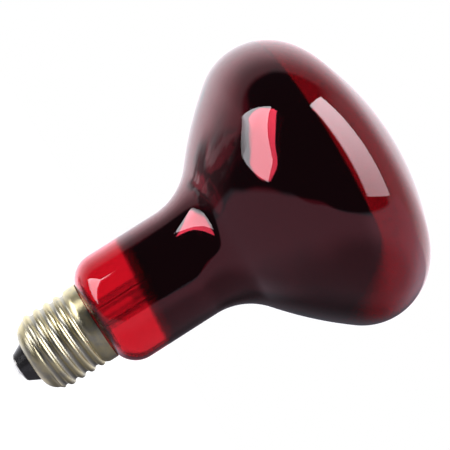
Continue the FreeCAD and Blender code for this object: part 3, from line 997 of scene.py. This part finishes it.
def drape_shade(tree, direction, across, height, depth, above):
    """Share of light that a crumpled drape takes on the left, in its fold and in the gap over the table."""
    cloth = add_node(tree, "ShaderNodeTexNoise", Scale=3.0, Detail=4.0)
    tree.links.new(direction, cloth.inputs["Vector"])
    ripple = add_math(tree, "SUBTRACT", cloth.outputs["Fac"], 0.5)
    slant = add_math(tree, "SUBTRACT", height, add_product(tree, depth, 0.75))
    from_fold = add_math(tree, "ABSOLUTE", add_sum(tree, slant, 0.27, add_product(tree, ripple, 1.2)), 0.0)
    fold = add_product(
        tree,
        add_step(tree, across, low=-0.8, high=-0.7, start=1, end=0),
        add_step(tree, from_fold, low=0.06, high=0.16, start=0.8, end=0),
        add_step(tree, height, low=0.1, high=0.25, start=1, end=0),
    )
    hem = add_sum(tree, above, add_product(tree, ripple, 0.5))
    gap = add_product(
        tree,
        add_step(tree, hem, low=0.13, high=0.22, start=0.9, end=0),
        add_step(tree, across, low=-0.93, high=-0.8, start=1, end=0),
        add_step(tree, depth, low=0.14, high=0.32, start=1, end=0),
    )
    return add_math(tree, "MAXIMUM", fold, gap)


def table_light(tree, across, depth, under):
    """Light of the pale table, dim under the lamp and behind it, and brighter to both sides."""
    open_table = add_step(tree, under, low=0.55, high=0.85, start=0.36, end=0.19)
    left_side = add_step(tree, across, low=-0.45, high=-0.15, start=1.9, end=0)
    right_side = add_step(tree, across, low=0.25, high=0.6)
    far_right = add_step(tree, across, low=0.35, high=0.85, start=1, end=1.7)
    behind = add_step(tree, depth, low=0.25, high=0.65)
    shade = add_math(tree, "SUBTRACT", 0.65, add_sum(tree, left_side, right_side))
    lit = add_math(tree, "SUBTRACT", 1.0, add_product(tree, behind, shade))
    return add_product(tree, open_table, lit, far_right)


def add_tint(tree, brightness, tint):
    """A tint at a given brightness."""
    scaled = add_node(tree, "ShaderNodeVectorMath", operation="SCALE")
    scaled.inputs[0].default_value = tint
    tree.links.new(brightness, scaled.inputs["Scale"])
    return scaled.outputs["Vector"]


def add_surround(stage):
    """Studio surround: a white backdrop, a pale table below it and a dark room behind the camera."""
    right, down, away = view_axes(stage)[:3]
    studio = bpy.data.worlds.new("studio")
    studio.use_nodes = True
    bpy.context.scene.world = studio
    tree = studio.node_tree
    direction = tree.nodes.new("ShaderNodeTexCoord").outputs["Generated"]
    across = part_along(tree, direction, right)
    height = part_along(tree, direction, -down)
    depth = part_along(tree, direction, away)
    to_shadow = 0.3 * right + 0.94 * down + 0.1 * away
    under = part_along(tree, direction, to_shadow)

    above = height_above_table(tree, across, height, depth)
    shade = drape_shade(tree, direction, across, height, depth, above)
    room = add_product(tree, backdrop_light(tree, across, depth), add_math(tree, "SUBTRACT", 1.0, shade))
    lit_room = add_node(tree, "ShaderNodeVectorMath", operation="ADD")
    tree.links.new(add_tint(tree, room, stage.light_tint), lit_room.inputs[0])
    lit_room.inputs[1].default_value = stage.dark_room
    table = add_tint(tree, table_light(tree, across, depth, under), stage.table_tint)
    on_table = add_step(tree, above, low=-0.03, high=0.03, start=1, end=0)
    surround = add_mix(tree, on_table, lit_room.outputs["Vector"], table)
    seen = tree.nodes.new("ShaderNodeLightPath").outputs["Is Camera Ray"]
    tree.links.new(add_mix(tree, seen, surround, (1, 1, 1)), tree.nodes["Background"].inputs["Color"])


class HEATLAMP_OT_stage(bpy.types.Operator):
    """Set the camera, the light panels, the surround and the floor"""

    bl_idname = "heat_lamp.stage"
    bl_label = "Stage"

    def execute(self, context):
        stage = context.scene.heat_lamp_stage
        context.scene.view_settings.view_transform = "Standard"
        add_camera(stage)
        add_surround(stage)
        add_panel("left_light_panel", stage, LEFT_PANEL_CORNERS, stage.left_panel)
        add_panel("right_light_panel", stage, RIGHT_PANEL_CORNERS, stage.right_panel)
        add_floor(stage)
        return {"FINISHED"}


class HEATLAMP_PT_pieces(bpy.types.Panel):
    """The lamp's pieces and stage in the sidebar"""

    bl_label = "Heat Lamp"
    bl_idname = "HEATLAMP_PT_pieces"
    bl_space_type = "VIEW_3D"
    bl_region_type = "UI"
    bl_category = "Heat Lamp"

    def draw(self, context):
        for operator in OPERATORS:
            self.layout.operator(operator.bl_idname)
        for name in SETTINGS:
            settings = getattr(context.scene, name)
            box = self.layout.box()
            for key in settings.__annotations__:
                box.prop(settings, key)


SETTINGS = {
    "heat_lamp_glass": GlassSettings,
    "heat_lamp_cap": CapSettings,
    "heat_lamp_filament": FilamentSettings,
    "heat_lamp_finish": FinishSettings,
    "heat_lamp_stage": StageSettings,
}
OPERATORS = (
    HEATLAMP_OT_envelope,
    HEATLAMP_OT_mirror_film,
    HEATLAMP_OT_screw_shell,
    HEATLAMP_OT_filament,
    HEATLAMP_OT_finishes,
    HEATLAMP_OT_stage,
)


def register():
    """Registers the settings, the operators and the panel."""
    for name, settings in SETTINGS.items():
        bpy.utils.register_class(settings)
        setattr(bpy.types.Scene, name, PointerProperty(type=settings))
    for kind in (*OPERATORS, HEATLAMP_PT_pieces):
        bpy.utils.register_class(kind)


def unregister():
    """Takes out what was registered, in reverse."""
    for kind in (HEATLAMP_PT_pieces, *reversed(OPERATORS)):
        bpy.utils.unregister_class(kind)
    for name, settings in reversed(SETTINGS.items()):
        delattr(bpy.types.Scene, name)
        bpy.utils.unregister_class(settings)


def main():
    """Builds the lamp and its stage."""
    register()
    bpy.ops.heat_lamp.envelope()
    bpy.ops.heat_lamp.mirror_film()
    bpy.ops.heat_lamp.screw_shell()
    bpy.ops.heat_lamp.filament()
    bpy.ops.heat_lamp.finishes()
    bpy.ops.heat_lamp.stage()


if __name__ == "__main__":
    main()
